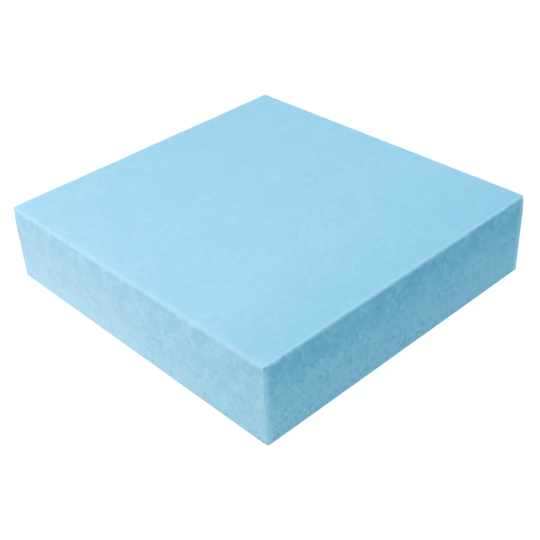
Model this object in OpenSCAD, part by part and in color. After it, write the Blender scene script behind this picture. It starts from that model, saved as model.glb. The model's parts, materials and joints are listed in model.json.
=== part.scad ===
// Tapered foam insulation board for a flat roof.
// One rigid slab of closed-cell foam, sawn to a wedge: the underside is level and the top face falls
// towards the thin edge. Its four sides are plain square edges that butt against the next board.
// Millimetres, +Z up. The origin is at the middle of the underside, and +X points up the slope.

/* [Board] */
// Width of the board, measured level along the fall
board_w = 600; // [200:5:1250]
// Length of the board, across the fall
board_l = 625; // [200:5:2500]
// Thickness at the thin edge
thin_edge = 140; // [30:1:240]
// Level run for a rise of 1, so 80 is a fall of 1 in 80
fall_run = 80; // [20:1:240]

/* [Eased edges] */
// Radius of the arrises round the sloping top face
top_arris_r = 3; // [0.5:0.25:8]
// Radius of the four upright edges
upright_arris_r = 4; // [0.5:0.25:10]
// Radius of the arrises round the underside
base_arris_r = 1.5; // [0.5:0.25:6]

/* [Hidden] */
$fn = 96;
rise = board_w / fall_run;
thick_edge = thin_edge + rise;
fall_angle = atan(1 / fall_run);
// How far the cutting outlines run past the board
over = 20;
// Each arc runs out through the faces it eases by this much, so that it meets them cleanly
run_out = 0.002;

function unit(v) = v / norm(v);

// What comes off a sharp corner to leave an arc of radius r.
// The corner is at the origin, and a and b point along its two sides.
module corner_waste(a, b, r) {
    half_angle = acos(a * b) / 2;
    inward = unit(a + b);
    touch = r / tan(half_angle);
    centre = inward * (r - run_out) / sin(half_angle);
    difference() {
        polygon([a * touch, centre, b * touch, -inward * r]);
        translate(centre)
            circle(r);
    }
}

// Convex outline, given anticlockwise, with each corner eased to its own radius
module eased_outline(corners, radii) {
    n = len(corners);
    difference() {
        polygon(corners);
        for (i = [0 : n - 1])
            translate(corners[i])
                corner_waste(
                    unit(corners[(i + n - 1) % n] - corners[i]),
                    unit(corners[(i + 1) % n] - corners[i]),
                    radii[i]
                );
    }
}

// Wedge section along the fall, carried across the board's length
module fall_section() {
    rotate([90, 0, 0])
        linear_extrude(board_l + 2 * over, center = true)
            eased_outline(
                [
                    [-board_w / 2, 0],
                    [board_w / 2, 0],
                    [board_w / 2, thick_edge],
                    [-board_w / 2, thin_edge]
                ],
                [base_arris_r, base_arris_r, top_arris_r, top_arris_r]
            );
}

// Plan of the board with its four upright edges eased
module plan_section() {
    translate([0, 0, -over])
        linear_extrude(thick_edge + 2 * over)
            eased_outline(
                [
                    [-board_w / 2, -board_l / 2],
                    [board_w / 2, -board_l / 2],
                    [board_w / 2, board_l / 2],
                    [-board_w / 2, board_l / 2]
                ],
                [for (i = [0 : 3]) upright_arris_r]
            );
}

// Section across the fall whose two top corners follow the slope
module slope_section() {
    depth = thick_edge + 2 * over;
    translate([-board_w / 2, 0, thin_edge + run_out])
        rotate([0, -fall_angle, 0])
            translate([-over, 0, 0])
                rotate([90, 0, 90])
                    linear_extrude(board_w + 3 * over)
                        eased_outline(
                            [
                                [-board_l / 2, -depth],
                                [board_l / 2, -depth],
                                [board_l / 2, 0],
                                [-board_l / 2, 0]
                            ],
                            [for (i = [0 : 3]) top_arris_r]
                        );
}

// Section across the fall whose two bottom corners run level
module deck_section() {
    rotate([90, 0, 90])
        linear_extrude(board_w + 2 * over, center = true)
            eased_outline(
                [
                    [-board_l / 2, 0],
                    [board_l / 2, 0],
                    [board_l / 2, thick_edge + over],
                    [-board_l / 2, thick_edge + over]
                ],
                [for (i = [0 : 3]) base_arris_r]
            );
}

// The board is what all four sections have in common
module board() {
    color([0.62, 0.84, 0.93])
        intersection() {
            fall_section();
            plan_section();
            slope_section();
            deck_section();
        }
}

board();
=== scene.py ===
# Tapered foam insulation board: one sawn slab, level underside, top falling to the thin edge
import json
import math

import bmesh
import bpy
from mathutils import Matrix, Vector, noise


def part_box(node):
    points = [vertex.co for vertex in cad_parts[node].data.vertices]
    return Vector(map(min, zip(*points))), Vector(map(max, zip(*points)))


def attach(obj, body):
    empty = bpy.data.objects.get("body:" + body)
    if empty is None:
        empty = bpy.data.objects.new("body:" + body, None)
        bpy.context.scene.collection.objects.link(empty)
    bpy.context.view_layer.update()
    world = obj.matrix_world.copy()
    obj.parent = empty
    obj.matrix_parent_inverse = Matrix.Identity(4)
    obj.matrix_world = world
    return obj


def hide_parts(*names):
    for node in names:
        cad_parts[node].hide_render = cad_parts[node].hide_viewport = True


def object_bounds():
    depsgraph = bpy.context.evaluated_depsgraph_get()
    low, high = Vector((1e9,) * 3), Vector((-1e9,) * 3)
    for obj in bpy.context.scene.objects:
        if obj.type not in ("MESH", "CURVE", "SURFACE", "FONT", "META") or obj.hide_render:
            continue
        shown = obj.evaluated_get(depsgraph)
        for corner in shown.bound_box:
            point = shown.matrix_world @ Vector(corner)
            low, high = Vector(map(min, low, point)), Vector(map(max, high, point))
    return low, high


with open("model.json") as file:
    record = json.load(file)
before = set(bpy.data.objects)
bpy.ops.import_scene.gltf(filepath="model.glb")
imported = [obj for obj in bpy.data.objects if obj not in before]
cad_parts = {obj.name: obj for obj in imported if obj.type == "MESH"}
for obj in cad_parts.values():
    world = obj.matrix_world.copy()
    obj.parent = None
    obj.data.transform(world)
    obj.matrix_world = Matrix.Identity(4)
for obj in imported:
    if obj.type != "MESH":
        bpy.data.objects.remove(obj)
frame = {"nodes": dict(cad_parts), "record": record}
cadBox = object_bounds()
print("frame loaded, nodes:", ", ".join(frame["nodes"]))

mm = 0.001
straight = 0.99         # a normal or an edge this much along an axis counts as along it
touching = 0.1 * mm     # and a vert this near a plane as in it


def deselectAll():
    bpy.ops.object.select_all(action="DESELECT")


def takeAlone(piece):
    deselectAll()
    piece.select_set(True)
    bpy.context.view_layer.objects.active = piece


def pick(piece, kind, wanted):
    # selects only the wanted verts, edges or faces, in edit mode
    bpy.ops.mesh.select_mode(type=kind)
    bpy.ops.mesh.select_all(action="DESELECT")
    cage = bmesh.from_edit_mesh(piece.data)
    parts = {"VERT": cage.verts, "EDGE": cage.edges, "FACE": cage.faces}[kind]
    for part in parts:
        if wanted(part):
            part.select_set(True)
    bmesh.update_edit_mesh(piece.data)


def middle(edge):
    return (edge.verts[0].co + edge.verts[1].co) / 2


def run(edge):
    return edge.verts[1].co - edge.verts[0].co


def fadeOut(distance, reach):
    # 1 at the line itself, easing to 0 at reach
    share = min(1.0, max(0.0, 1.0 - distance / reach))
    return share * share * (3 - 2 * share)


def ripple(co, grain, start=0.0, swing=0.6):
    # even noise from 0 to 1, its humps about a grain apart, each start another pattern
    wave = noise.noise((co + Vector((start, 0, 0))) / grain)
    return min(1.0, max(0.0, 0.5 + swing * wave))


board = {
    "topArris": 2.0 * mm,
    "topSegments": 4,
    "uprightArris": 2.5 * mm,
    "uprightSegments": 5,
    "baseArris": 1.5 * mm,
    "baseSegments": 3,
    "borderStrip": 0.3 * mm,    # keeps the top flat right up to its arris
    "skinCell": 4.5 * mm,       # mesh size on the top, the sawn sides get half
    "longEdge": 20 * mm,        # edges longer than this get the lattice's cuts,
    "splitOver": 0.45,          # sawn ones longer than this share of a cell are halved
    "skinTilt": 0.9,            # faces more level than this, inside the arris, are skin
}

low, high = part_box("board")
width, length = high.x - low.x, high.y - low.y
topMount = next(m for m in frame["record"]["mounts"] if m["name"] == "sloping_top")
fall = -topMount["axis"][0] / topMount["axis"][2]
midHeight = topMount["pos_m"][2]


def topAt(x):
    return midHeight + fall * x


def sideInset(co):
    return min(width / 2 - abs(co.x), length / 2 - abs(co.y))


def makeBoard(size):
    deselectAll()
    bpy.ops.mesh.primitive_cube_add(size=1, location=(0, 0, midHeight / 2),
                                    scale=(width, length, midHeight))
    slab = bpy.context.object
    slab.name = slab.data.name = "board_foam"
    takeAlone(slab)
    bpy.ops.object.transform_apply(location=True, rotation=True, scale=True)

    bpy.ops.object.mode_set(mode="EDIT")
    for side in (-1, 1):        # tip the top to its fall
        pick(slab, "VERT", lambda v: v.co.z > midHeight / 2 and v.co.x * side > 0)
        bpy.ops.transform.translate(value=(0, 0, side * fall * width / 2))

    def ease(wanted, radius, segments):
        pick(slab, "EDGE", wanted)
        bpy.ops.mesh.bevel(offset=radius, offset_type="OFFSET", segments=segments, profile=0.5,
                           affect="EDGES", clamp_overlap=False)

    def isAlong(axis, least=0):
        return lambda e: e.calc_length() > least and abs(run(e).normalized()[axis]) > straight

    def isBase(edge):
        return all(v.co.z < touching for v in edge.verts)

    def isTop(edge):
        return all(v.co.z > topAt(v.co.x) - touching for v in edge.verts)

    ease(isAlong(2), size["uprightArris"], size["uprightSegments"])
    ease(isBase, size["baseArris"], size["baseSegments"])
    ease(isTop, size["topArris"], size["topSegments"])
    pick(slab, "FACE", lambda f: f.normal.z > straight)
    bpy.ops.mesh.inset(thickness=size["borderStrip"], use_boundary=True)

    for axis, span in enumerate((width, length, midHeight)):    # one lattice over the whole slab
        pick(slab, "EDGE", isAlong(axis, size["longEdge"]))
        bpy.ops.mesh.subdivide(number_cuts=round(span / size["skinCell"]) - 1)

    def isSawnCell(edge):
        onSide = sideInset(middle(edge)) < size["topArris"] + touching
        return onSide and edge.calc_length() > size["splitOver"] * size["skinCell"]

    pick(slab, "EDGE", isSawnCell)      # the sawn sides twice as fine
    bpy.ops.mesh.subdivide(number_cuts=1)

    pick(slab, "FACE", lambda f: f.normal.z < -straight)    # the underside lies flat
    bpy.ops.mesh.dissolve_faces()
    bpy.ops.object.mode_set(mode="OBJECT")
    return slab


# wear and sawn relief, always into the foam

wear = {
    "rub": 0.6 * mm,            # the arrises rubbed off, along the normals
    "rubGrain": 30 * mm,
    "rubReach": 4.5 * mm,
    "footClear": 4 * mm,        # neither rub nor grain right at the foot, where it stands
    "wander": 1.7 * mm,         # the top arris strays level into the board
    "wanderGrain": 26 * mm,
    "wanderStart": 11.0,
    "scallop": 2.6 * mm,        # with shallow bites into it,
    "scallopFrom": 0.5,         # where their noise is above this
    "scallopGrain": 10 * mm,
    "scallopStart": 3.0,
    "wanderInto": 15 * mm,      # dying out this far in,
    "wanderDown": 35 * mm,      # and this far down the side
    "wanderSides": (            # axis, way out and how much: the thin edge was handled most
        ("X", -1, 1.0), ("X", 1, 0.6), ("Y", -1, 0.8), ("Y", 1, 0.6)),
    "knock": 1.6 * mm,          # the front upright is rubbed off,
    "knockMiddle": 35 * mm,     # most at this height,
    "knockHeight": 50 * mm,     # dying out this far up and down
    "knockReach": 12 * mm,      # and this far round the corner
    "nicks": (                  # where, and how deep
        ((-0.2960, -0.3125, 0.1365), 1.8 * mm),
        ((-0.2620, -0.3110, 0.1370), 1.8 * mm),
        ((-0.2985, 0.1420, 0.1375), 0.8 * mm)),
    "nickReach": 6 * mm,
    "smoothReach": 7 * mm,      # this near an arris the torn grain is rubbed away,
    "smoothShare": 0.8,         # and this much of it
    "palePost": 16 * mm,        # painted highlight: the foam is painted pale this far from an upright arris
    "paleButt": (7.5 * mm, 1.0, 0.75),  # reach from the top arris, how pale there, by an upright
    "paleEdge": (10 * mm, 0.5, 0.05),   # the same, thin and thick edges
}

sawn = {
    "swell": 0.75 * mm,         # the saw's long ripple, then the torn grain on it
    "swellGrain": 12 * mm,
    "swellStart": 5.0,
    "relief": 0.5 * mm,
    "reliefGrain": 5.5 * mm,
    "sideDepth": 1 * mm,        # all that lies this near a side's plane has relief,
    "sideFade": 3 * mm,         # which fades over the next stretch in
    "pitDepth": 1.0 * mm,
    "pitSpacing": 11.5 * mm,
    "pitRadius": 3.4 * mm,
    "buttPitRadius": 4.3 * mm,  # the two butt sides tore more than the thin and thick edges
    "pitLeast": 0.25,           # a pit has at least this share of its radius,
    "pitPatchy": 0.75,          # up to this much more in patches
    "pitPatchGrain": 50 * mm,
    "pitPatchStart": 7.0,
    "pitHighUp": 0.5,           # and this much more at the top
    "edgeTornAndShade": 0.6,            # how torn the thin and thick edges look, against 1 on the butts, and so how much of the sides' painted shade they get
    "buttGrain": (1.3, 0.25, 0.5),  # grain by the front corner, lost by the far end, more low down
    "edgeGrain": (1.4, 0.6, 0.0),   # the same, thin and thick edges,
    "edgeHighUp": 0.75,         # which keep this share of it high up
    "lowUpTo": 50 * mm,         # low down is all up to here,
    "lowFade": 60 * mm,         # and less and less over the next stretch up
    "lean": 0.22,               # the grain drags this much along the blade's way
    "bladeWay": Vector((1, 1, -1)).normalized(),
}

skin = {
    "relief": 0.25 * mm,
    "reliefGrain": 70 * mm,
    "depth": 2 * mm,            # only what lies this near the top has it,
    "border": 10 * mm,          # and it sets in over this much from the sides
}


def topArrisGap(co):
    return math.hypot(sideInset(co), topAt(co.x) - co.z)


def uprightGap(co):
    return math.hypot(width / 2 - abs(co.x), length / 2 - abs(co.y))


def onButt(co):
    return length / 2 - abs(co.y) < width / 2 - abs(co.x)


def rubbed(co):
    near = fadeOut(min(topArrisGap(co), uprightGap(co)), wear["rubReach"])
    return near * wear["rub"] * ripple(co, wear["rubGrain"]) * min(1.0, co.z / wear["footClear"])


def strayed(co, inset):
    into = fadeOut(max(0.0, inset - board["topArris"]), wear["wanderInto"])
    down = fadeOut(max(0.0, topAt(co.x) - co.z - board["topArris"]), wear["wanderDown"])
    above = ripple(co, wear["scallopGrain"], wear["scallopStart"]) - wear["scallopFrom"]
    bite = wear["scallop"] * max(0.0, above)
    bend = wear["wander"] * ripple(co, wear["wanderGrain"], wear["wanderStart"])
    return into * down * (bend + bite)


def nickedAt(co):
    # each nick's depth, and 1 at its middle easing to 0 outside it
    return [(depth, fadeOut((co - Vector(place)).length, wear["nickReach"]))
            for place, depth in wear["nicks"]]


def nicked(co):
    return max(depth * share for depth, share in nickedAt(co))


def knockedCorner(co):
    if co.x > 0 or co.y > 0:
        return 0.0
    byHeight = fadeOut(abs(co.z - wear["knockMiddle"]), wear["knockHeight"])
    return wear["knock"] * fadeOut(uprightGap(co), wear["knockReach"]) * byHeight


# each side's tear, which also sets how much of the sides' painted shade it gets
def tornAndShadeShare(co):
    return 1.0 if onButt(co) else sawn["edgeTornAndShade"]


def grainShare(co):
    # the cut ran roughest by the front corner, and stayed rough high up on the butt sides
    away = min(1.0, math.hypot(co.x + width / 2, co.y + length / 2) / length)
    lowDown = fadeOut(max(0.0, co.z - sawn["lowUpTo"]), sawn["lowFade"])
    atCorner, lost, lostLow = sawn["buttGrain"] if onButt(co) else sawn["edgeGrain"]
    share = atCorner - away * (lost + lostLow * lowDown)
    if not onButt(co):
        share *= sawn["edgeHighUp"] + (1 - sawn["edgeHighUp"]) * lowDown
    return share


def onSawnSide(co):
    # fades at the foot, and at the arrises, which are rubbed smooth
    arris = fadeOut(min(topArrisGap(co), uprightGap(co)), wear["smoothReach"])
    clear = (1 - fadeOut(co.z, wear["footClear"])) * (1 - wear["smoothShare"] * arris)
    nearSide = fadeOut(max(0.0, sideInset(co) - sawn["sideDepth"]), sawn["sideFade"])
    return clear * grainShare(co) * nearSide


def dragged(co):
    return co - sawn["lean"] * co.dot(sawn["bladeWay"]) * sawn["bladeWay"]


def pitShare(co):
    # torn out cells: 1 in the middle of a pit, none outside, larger pits high up
    distances, points = noise.voronoi(dragged(co) / sawn["pitSpacing"])
    gap = distances[0] * sawn["pitSpacing"]
    radius = sawn["buttPitRadius"] if onButt(co) else sawn["pitRadius"]
    patch = ripple(co, sawn["pitPatchGrain"], sawn["pitPatchStart"])
    size = sawn["pitLeast"] + sawn["pitPatchy"] * patch + sawn["pitHighUp"] * co.z / midHeight
    return onSawnSide(co) * fadeOut(gap, radius * size)


def sawnRelief(co):
    swell = sawn["swell"] * ripple(dragged(co), sawn["swellGrain"], sawn["swellStart"])
    return onSawnSide(co) * (swell + sawn["relief"] * ripple(dragged(co), sawn["reliefGrain"]))


def skinRelief(co):
    atTop = fadeOut(max(0.0, topAt(co.x) - co.z), skin["depth"])
    onSkin = atTop * (1 - fadeOut(sideInset(co), skin["border"]))
    return onSkin * skin["relief"] * ripple(co, skin["reliefGrain"])


# painted highlight: pale along the arrises and uprights, none in the nicks
def paintedHighlightAt(co):
    reach, byTop, byPost = wear["paleButt"] if onButt(co) else wear["paleEdge"]
    pale = max(byTop * fadeOut(topArrisGap(co), reach),
               byPost * fadeOut(uprightGap(co), wear["palePost"]))
    return pale * (1 - max(share for depth, share in nickedAt(co)))


def takeAway(piece, name, depthAt, way="NORMAL", outward=1):
    # a displace weighted by how deep each vert goes
    depths = [depthAt(v.co) for v in piece.data.vertices]
    deepest = max(depths)
    group = piece.vertex_groups.new(name=name)
    for index, depth in enumerate(depths):
        if depth > 0:
            group.add([index], depth / deepest, "REPLACE")
    cut = piece.modifiers.new(name, "DISPLACE")
    cut.vertex_group = name
    cut.direction = way
    cut.mid_level = 0
    cut.strength = -deepest * outward
    takeAlone(piece)
    bpy.ops.object.modifier_apply(modifier=cut.name)
    piece.vertex_groups.clear()


def noteDown(piece, name, shareAt):
    # kept on the mesh for the material
    shares = [shareAt(v.co) for v in piece.data.vertices]
    piece.data.attributes.new(name, "FLOAT", "POINT").data.foreach_set("value", shares)


def makeWorn(piece):
    # the pits' share, for the painted shade in them
    noteDown(piece, "paintedPitShade", pitShare)
    noteDown(piece, "tornAndShade", tornAndShadeShare)
    noteDown(piece, "grain", grainShare)
    noteDown(piece, "paintedHighlight", paintedHighlightAt)
    takeAway(piece, "sawnRelief", sawnRelief)
    takeAway(piece, "pits", lambda co: sawn["pitDepth"] * pitShare(co))
    takeAway(piece, "skinRelief", skinRelief)
    takeAway(piece, "rubbed", rubbed)
    for way, outward, share in wear["wanderSides"]:
        axis, half = {"X": (0, width / 2), "Y": (1, length / 2)}[way]
        takeAway(piece, "strayed", lambda co: share * strayed(co, half - outward * co[axis]),
                 way, outward)
    takeAway(piece, "nicked", nicked)
    takeAway(piece, "knockedCorner", knockedCorner)


slab = makeBoard(board)
print("board cut to its fall:", len(slab.data.polygons), "faces")

makeWorn(slab)
print("board worn: sawn sides, skin, arrises")


def newMaterial(name, look):
    material = bpy.data.materials.new(name)
    material.use_nodes = True
    tree = material.node_tree
    shader = tree.nodes["Principled BSDF"]
    shader.inputs["Roughness"].default_value = look["roughness"]
    shader.inputs["Specular IOR Level"].default_value = look["specular"]
    return material, tree, shader


def add(tree, kind, **inputs):
    made = tree.nodes.new(kind)
    for name, value in inputs.items():
        made.inputs[name].default_value = value
    return made


def objectPlace(tree):
    # the place itself, and its X, Y and Z
    place = tree.nodes.new("ShaderNodeTexCoord").outputs["Object"]
    apart = tree.nodes.new("ShaderNodeSeparateXYZ")
    tree.links.new(place, apart.inputs[0])
    return place, apart.outputs


def noiseAt(tree, place, layer):
    made = add(tree, "ShaderNodeTexNoise", Scale=1 / layer["grain"], Detail=layer["detail"],
               Roughness=layer.get("roughness", 0.5))
    tree.links.new(place, made.inputs["Vector"])
    return made.outputs["Fac"]


def cellsAt(tree, place, grain):
    made = add(tree, "ShaderNodeTexVoronoi", Scale=1 / grain)
    tree.links.new(place, made.inputs["Vector"])
    return made.outputs["Distance"]


def noted(tree, name):
    made = tree.nodes.new("ShaderNodeAttribute")
    made.attribute_name = name
    return made.outputs["Fac"]


def spread(tree, value, between, gives=(0.0, 1.0)):
    # eases from the first given number to the second
    made = tree.nodes.new("ShaderNodeMapRange")
    made.interpolation_type = "SMOOTHSTEP"
    for name, number in zip(("From Min", "From Max", "To Min", "To Max"), (*between, *gives)):
        made.inputs[name].default_value = number
    tree.links.new(value, made.inputs["Value"])
    return made.outputs["Result"]


def noiseLayer(tree, place, layer):
    return spread(tree, noiseAt(tree, place, layer), layer["between"], layer["gives"])


def feed(tree, sockets, values):
    # a plain value is set on its socket, an output is linked to it
    for socket, value in zip(sockets, values):
        if isinstance(value, (int, float, tuple)):
            socket.default_value = value
        else:
            tree.links.new(value, socket)


def maths(tree, operation, first, second):
    made = tree.nodes.new("ShaderNodeMath")
    made.operation = operation
    feed(tree, made.inputs, (first, second))
    return made.outputs["Value"]


def times(tree, first, second):
    return maths(tree, "MULTIPLY", first, second)


def blend(tree, factor, first, second):
    made = tree.nodes.new("ShaderNodeMix")
    made.data_type = "RGBA"
    colours = [s for s in made.inputs if s.type == "RGBA"]
    feed(tree, [made.inputs["Factor"]] + colours, (factor, first, second))
    return next(s for s in made.outputs if s.type == "RGBA")


def vectorMaths(tree, operation, *values):
    made = tree.nodes.new("ShaderNodeVectorMath")
    made.operation = operation
    feed(tree, made.inputs, values)
    return made


def draggedPlace(tree, place):
    # the same drag as the relief
    bladeWay = tuple(sawn["bladeWay"])
    along = vectorMaths(tree, "DOT_PRODUCT", place, bladeWay).outputs["Value"]
    drag = vectorMaths(tree, "SCALE", bladeWay)
    tree.links.new(times(tree, along, -sawn["lean"]), drag.inputs["Scale"])
    return vectorMaths(tree, "ADD", place, drag.outputs[0]).outputs[0]


def raiseBy(tree, shader, height, depth):
    bump = add(tree, "ShaderNodeBump", Strength=1.0, Distance=depth)
    tree.links.new(height, bump.inputs["Height"])
    tree.links.new(bump.outputs["Normal"], shader.inputs["Normal"])


def linear(red, green, blue):
    # screen values 0 to 255 to a shader colour
    def one(c):
        c /= 255
        return c / 12.92 if c <= 0.04045 else ((c + 0.055) / 1.055) ** 2.4
    return (one(red), one(green), one(blue), 1)


# a layer's noise, between two values, eases from the first share it gives to the second
skinLook = {
    "pale": linear(166, 216, 240),
    "deep": linear(152, 208, 234),
    "endPale": linear(157, 210, 235),   # painted shade: one butt end is painted a shade deeper
    "endDeep": linear(143, 202, 229),
    "end": {"reach": 170 * mm, "share": 0.85},
    "cloud": {"grain": 60 * mm, "detail": 3, "between": (0.35, 0.65), "gives": (0, 0.35)},
    "mottle": {"grain": 10 * mm, "detail": 5, "roughness": 0.75,
               "between": (0.4, 0.6), "gives": (0, 0.6)},
    # painted highlight along the arrises
    "paintedHighlight": {"colour": linear(178, 223, 242), "share": 0.7},
    "cells": 2.2 * mm,                  # the closed cells just show through
    "cellRelief": 0.06 * mm,
    "roughness": 0.62,
    "specular": 0.3,
}

sawnLook = {
    # paler low down stands in for the floor's light, the deep high band is painted shade
    "low": linear(139, 193, 216),       # painted light and shade in bands up the side, and the heights where they blend
    "mid": linear(130, 183, 208),
    "high": linear(104, 170, 198),
    "lowToMid": (10 * mm, 60 * mm),
    "midToHigh": (62 * mm, 125 * mm),
    "highFallOff": 1.6,                 # the thin and thick edges get much less of the high band's painted shade, and are painted a shade deeper towards the butt end with the lowest Y
    "end": {"colour": linear(112, 180, 206),        # and deepen towards one butt end
            "reach": 385 * mm, "share": 1},
    "patches": {"colour": linear(141, 192, 215), "grain": 22 * mm, "detail": 3,
                "between": (0.4, 0.65), "gives": (0, 0.42)},
    "rough": {"grain": 45 * mm, "detail": 2,        # how strongly the torn grain shows
              "between": (0.35, 0.65), "gives": (0.45, 1.25)},
    "grain": {"grain": 7.5 * mm, "detail": 2},
    "hollows": {"colour": linear(108, 171, 197), "between": (0.51, 0.7), "gives": (0, 0.75)},
    "flecks": {"colour": linear(158, 205, 226), "between": (0.28, 0.48), "gives": (0.25, 0)},
    # painted shade darkening the pits
    "paintedPitShade": {"colour": linear(99, 161, 189), "share": 0.75},
    # painted highlight along the arrises
    "paintedHighlight": {"colour": linear(163, 214, 236), "share": 0.85},
    "paintedContactShadow": {"colour": linear(110, 150, 170),       # painted shadow along the line it stands on
             "between": (0.6 * mm, 2.2 * mm), "gives": (0.6, 0)},
    "fine": {"grain": 3.6 * mm, "detail": 3},       # a last fine grain, in relief only
    "fineRelief": 0.5 * mm,
    "roughness": 0.9,
    "specular": 0.2,
}


def atEnd(tree, along, end):
    # the painted shade of an end: most at the butt end with the lowest Y, none past its reach
    return spread(tree, along, (-length / 2, end["reach"] - length / 2), (end["share"], 0))


def whereNoted(tree, colour, name, tone):
    # the tone over the colour, as the mesh has it noted
    share = times(tree, noted(tree, name), tone["share"])
    return blend(tree, share, colour, tone["colour"])


def makeSkin(look):
    material, tree, shader = newMaterial("foamSkin", look)
    place, along = objectPlace(tree)
    # painted shade towards the butt end with the lowest Y
    end = atEnd(tree, along["Y"], look["end"])
    pale = blend(tree, end, look["pale"], look["endPale"])
    deep = blend(tree, end, look["deep"], look["endDeep"])
    colour = blend(tree, noiseLayer(tree, place, look["cloud"]), pale, deep)
    mottle = noiseLayer(tree, draggedPlace(tree, place), look["mottle"])
    colour = blend(tree, mottle, colour, deep)
    # painted highlight: the arrises painted pale
    colour = whereNoted(tree, colour, "paintedHighlight", look["paintedHighlight"])
    tree.links.new(colour, shader.inputs["Base Color"])
    raiseBy(tree, shader, cellsAt(tree, place, look["cells"]), look["cellRelief"])
    return material


def makeSawn(look):
    material, tree, shader = newMaterial("foamSawn", look)
    place, along = objectPlace(tree)
    grainPlace = draggedPlace(tree, place)
    tornAndShade = noted(tree, "tornAndShade")

    # painted light low down and painted shade high up the sides
    colour = blend(tree, spread(tree, along["Z"], look["lowToMid"]), look["low"], look["mid"])
    top = spread(tree, along["Z"], look["midToHigh"])
    top = times(tree, top, maths(tree, "POWER", tornAndShade, look["highFallOff"]))
    colour = blend(tree, top, colour, look["high"])
    # painted shade: the thin and thick edges deepen towards the butt end with the lowest Y
    end = atEnd(tree, along["Y"], look["end"])
    end = times(tree, end, maths(tree, "SUBTRACT", 1, tornAndShade))
    colour = blend(tree, end, colour, look["end"]["colour"])

    patches = noiseLayer(tree, grainPlace, look["patches"])
    colour = blend(tree, patches, colour, look["patches"]["colour"])
    rough = times(tree, tornAndShade, noted(tree, "grain"))
    rough = times(tree, noiseLayer(tree, place, look["rough"]), rough)
    grain = noiseAt(tree, grainPlace, look["grain"])
    for tone in (look["hollows"], look["flecks"]):
        share = times(tree, spread(tree, grain, tone["between"], tone["gives"]), rough)
        colour = blend(tree, share, colour, tone["colour"])
    # painted shade in the pits
    colour = whereNoted(tree, colour, "paintedPitShade", look["paintedPitShade"])

    # painted highlight: the arrises painted pale
    colour = whereNoted(tree, colour, "paintedHighlight", look["paintedHighlight"])
    # painted shadow: darker along the foot, where it stands on the floor
    paintedContactShadow = spread(tree, along["Z"], look["paintedContactShadow"]["between"], look["paintedContactShadow"]["gives"])
    colour = blend(tree, paintedContactShadow, colour, look["paintedContactShadow"]["colour"])
    tree.links.new(colour, shader.inputs["Base Color"])
    raiseBy(tree, shader, noiseAt(tree, grainPlace, look["fine"]), look["fineRelief"])
    return material


def layOn(piece):
    # skin on the level faces, sawn foam on the sides and the arrises
    piece.data.materials.append(makeSkin(skinLook))
    piece.data.materials.append(makeSawn(sawnLook))
    for face in piece.data.polygons:
        level = abs(face.normal.z) > board["skinTilt"]
        onSkin = level and sideInset(face.center) > board["topArris"]
        face.material_index = 0 if onSkin else 1
        face.use_smooth = face.normal.z > -straight     # all but the underside


layOn(slab)
print("materials laid on")

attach(slab, "root")
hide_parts("board")


stage = {
    "floorSize": 14,
    "floorWhite": 0.9,
    "whiteGlow": 0.9,       # what the camera sees of the floor besides its own light,
    "shadowShare": 0.2,     # and how much of that light, which carries the shadow
    "sky": (0.765, 0.905, 0.937, 1),
}

key = {
    "azimuth": 165,         # degrees from +X towards +Y
    "elevation": 20,
    "distance": 1.4,
    "size": 1.0,
    "power": 14.0,
    "colour": (1.0, 0.5, 0.385),
}

camera = {
    "place": (-0.9414, -1.0386, 0.9536),
    "turn": (55.839, 2.306, -43.907),   # degrees
    "lens": 64,
}


def grey(value):
    return (value, value, value, 1)


def seenDirectly(tree):
    path = tree.nodes.new("ShaderNodeLightPath")
    seen = maths(tree, "MAXIMUM", path.outputs["Is Camera Ray"], path.outputs["Is Glossy Ray"])
    return maths(tree, "MAXIMUM", seen, path.outputs["Is Transmission Ray"])


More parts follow.
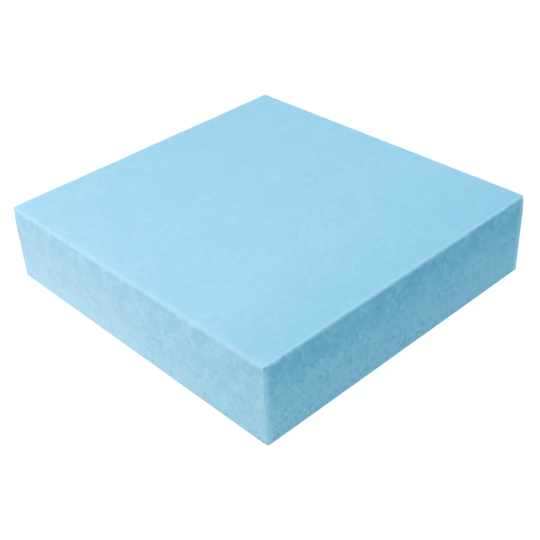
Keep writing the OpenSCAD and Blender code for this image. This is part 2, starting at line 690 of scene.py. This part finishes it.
def makeFloor(look):
    deselectAll()
    bpy.ops.mesh.primitive_plane_add(size=look["floorSize"], location=(0, 0, cadBox[0].z))
    floor = bpy.context.object
    floor.name = "floor"
    material = bpy.data.materials.new("paleFloor")
    material.use_nodes = True
    tree = material.node_tree
    tree.nodes.clear()
    white = look["floorWhite"]
    lit = add(tree, "ShaderNodeBsdfDiffuse", Color=grey(white))
    shaded = add(tree, "ShaderNodeBsdfDiffuse", Color=grey(white * look["shadowShare"]))
    glow = add(tree, "ShaderNodeEmission", Color=grey(1), Strength=look["whiteGlow"])
    both = tree.nodes.new("ShaderNodeAddShader")
    tree.links.new(shaded.outputs[0], both.inputs[0])
    tree.links.new(glow.outputs[0], both.inputs[1])
    mix = tree.nodes.new("ShaderNodeMixShader")
    tree.links.new(seenDirectly(tree), mix.inputs[0])
    tree.links.new(lit.outputs[0], mix.inputs[1])
    tree.links.new(both.outputs[0], mix.inputs[2])
    output = tree.nodes.new("ShaderNodeOutputMaterial")
    tree.links.new(mix.outputs[0], output.inputs["Surface"])
    floor.data.materials.append(material)


def makeWorld(look):
    # white where it is seen, the studio's cool light elsewhere
    world = bpy.data.worlds.new("studio")
    bpy.context.scene.world = world
    world.use_nodes = True
    tree = world.node_tree
    colour = blend(tree, seenDirectly(tree), look["sky"], grey(1.0))
    tree.links.new(colour, tree.nodes["Background"].inputs["Color"])


def makeKey(look):
    lamp = bpy.data.lights.new("key", "AREA")
    lamp.shape = "DISK"
    lamp.size = look["size"]
    lamp.energy = look["power"]
    lamp.color = look["colour"]
    holder = bpy.data.objects.new("key", lamp)
    around, up = math.radians(look["azimuth"]), math.radians(look["elevation"])
    way = Vector((math.cos(around) * math.cos(up), math.sin(around) * math.cos(up), math.sin(up)))
    holder.location = way * look["distance"]
    holder.rotation_euler = way.to_track_quat("Z", "Y").to_euler()
    bpy.context.collection.objects.link(holder)


def makeCamera(look):
    eye = bpy.data.cameras.new("camera")
    eye.lens = look["lens"]
    holder = bpy.data.objects.new("camera", eye)
    holder.location = look["place"]
    holder.rotation_euler = [math.radians(a) for a in look["turn"]]
    bpy.context.collection.objects.link(holder)
    bpy.context.scene.camera = holder


makeFloor(stage)
makeWorld(stage)
makeKey(key)
makeCamera(camera)
bpy.context.scene.view_settings.view_transform = "Standard"
print("floor, light and camera set")
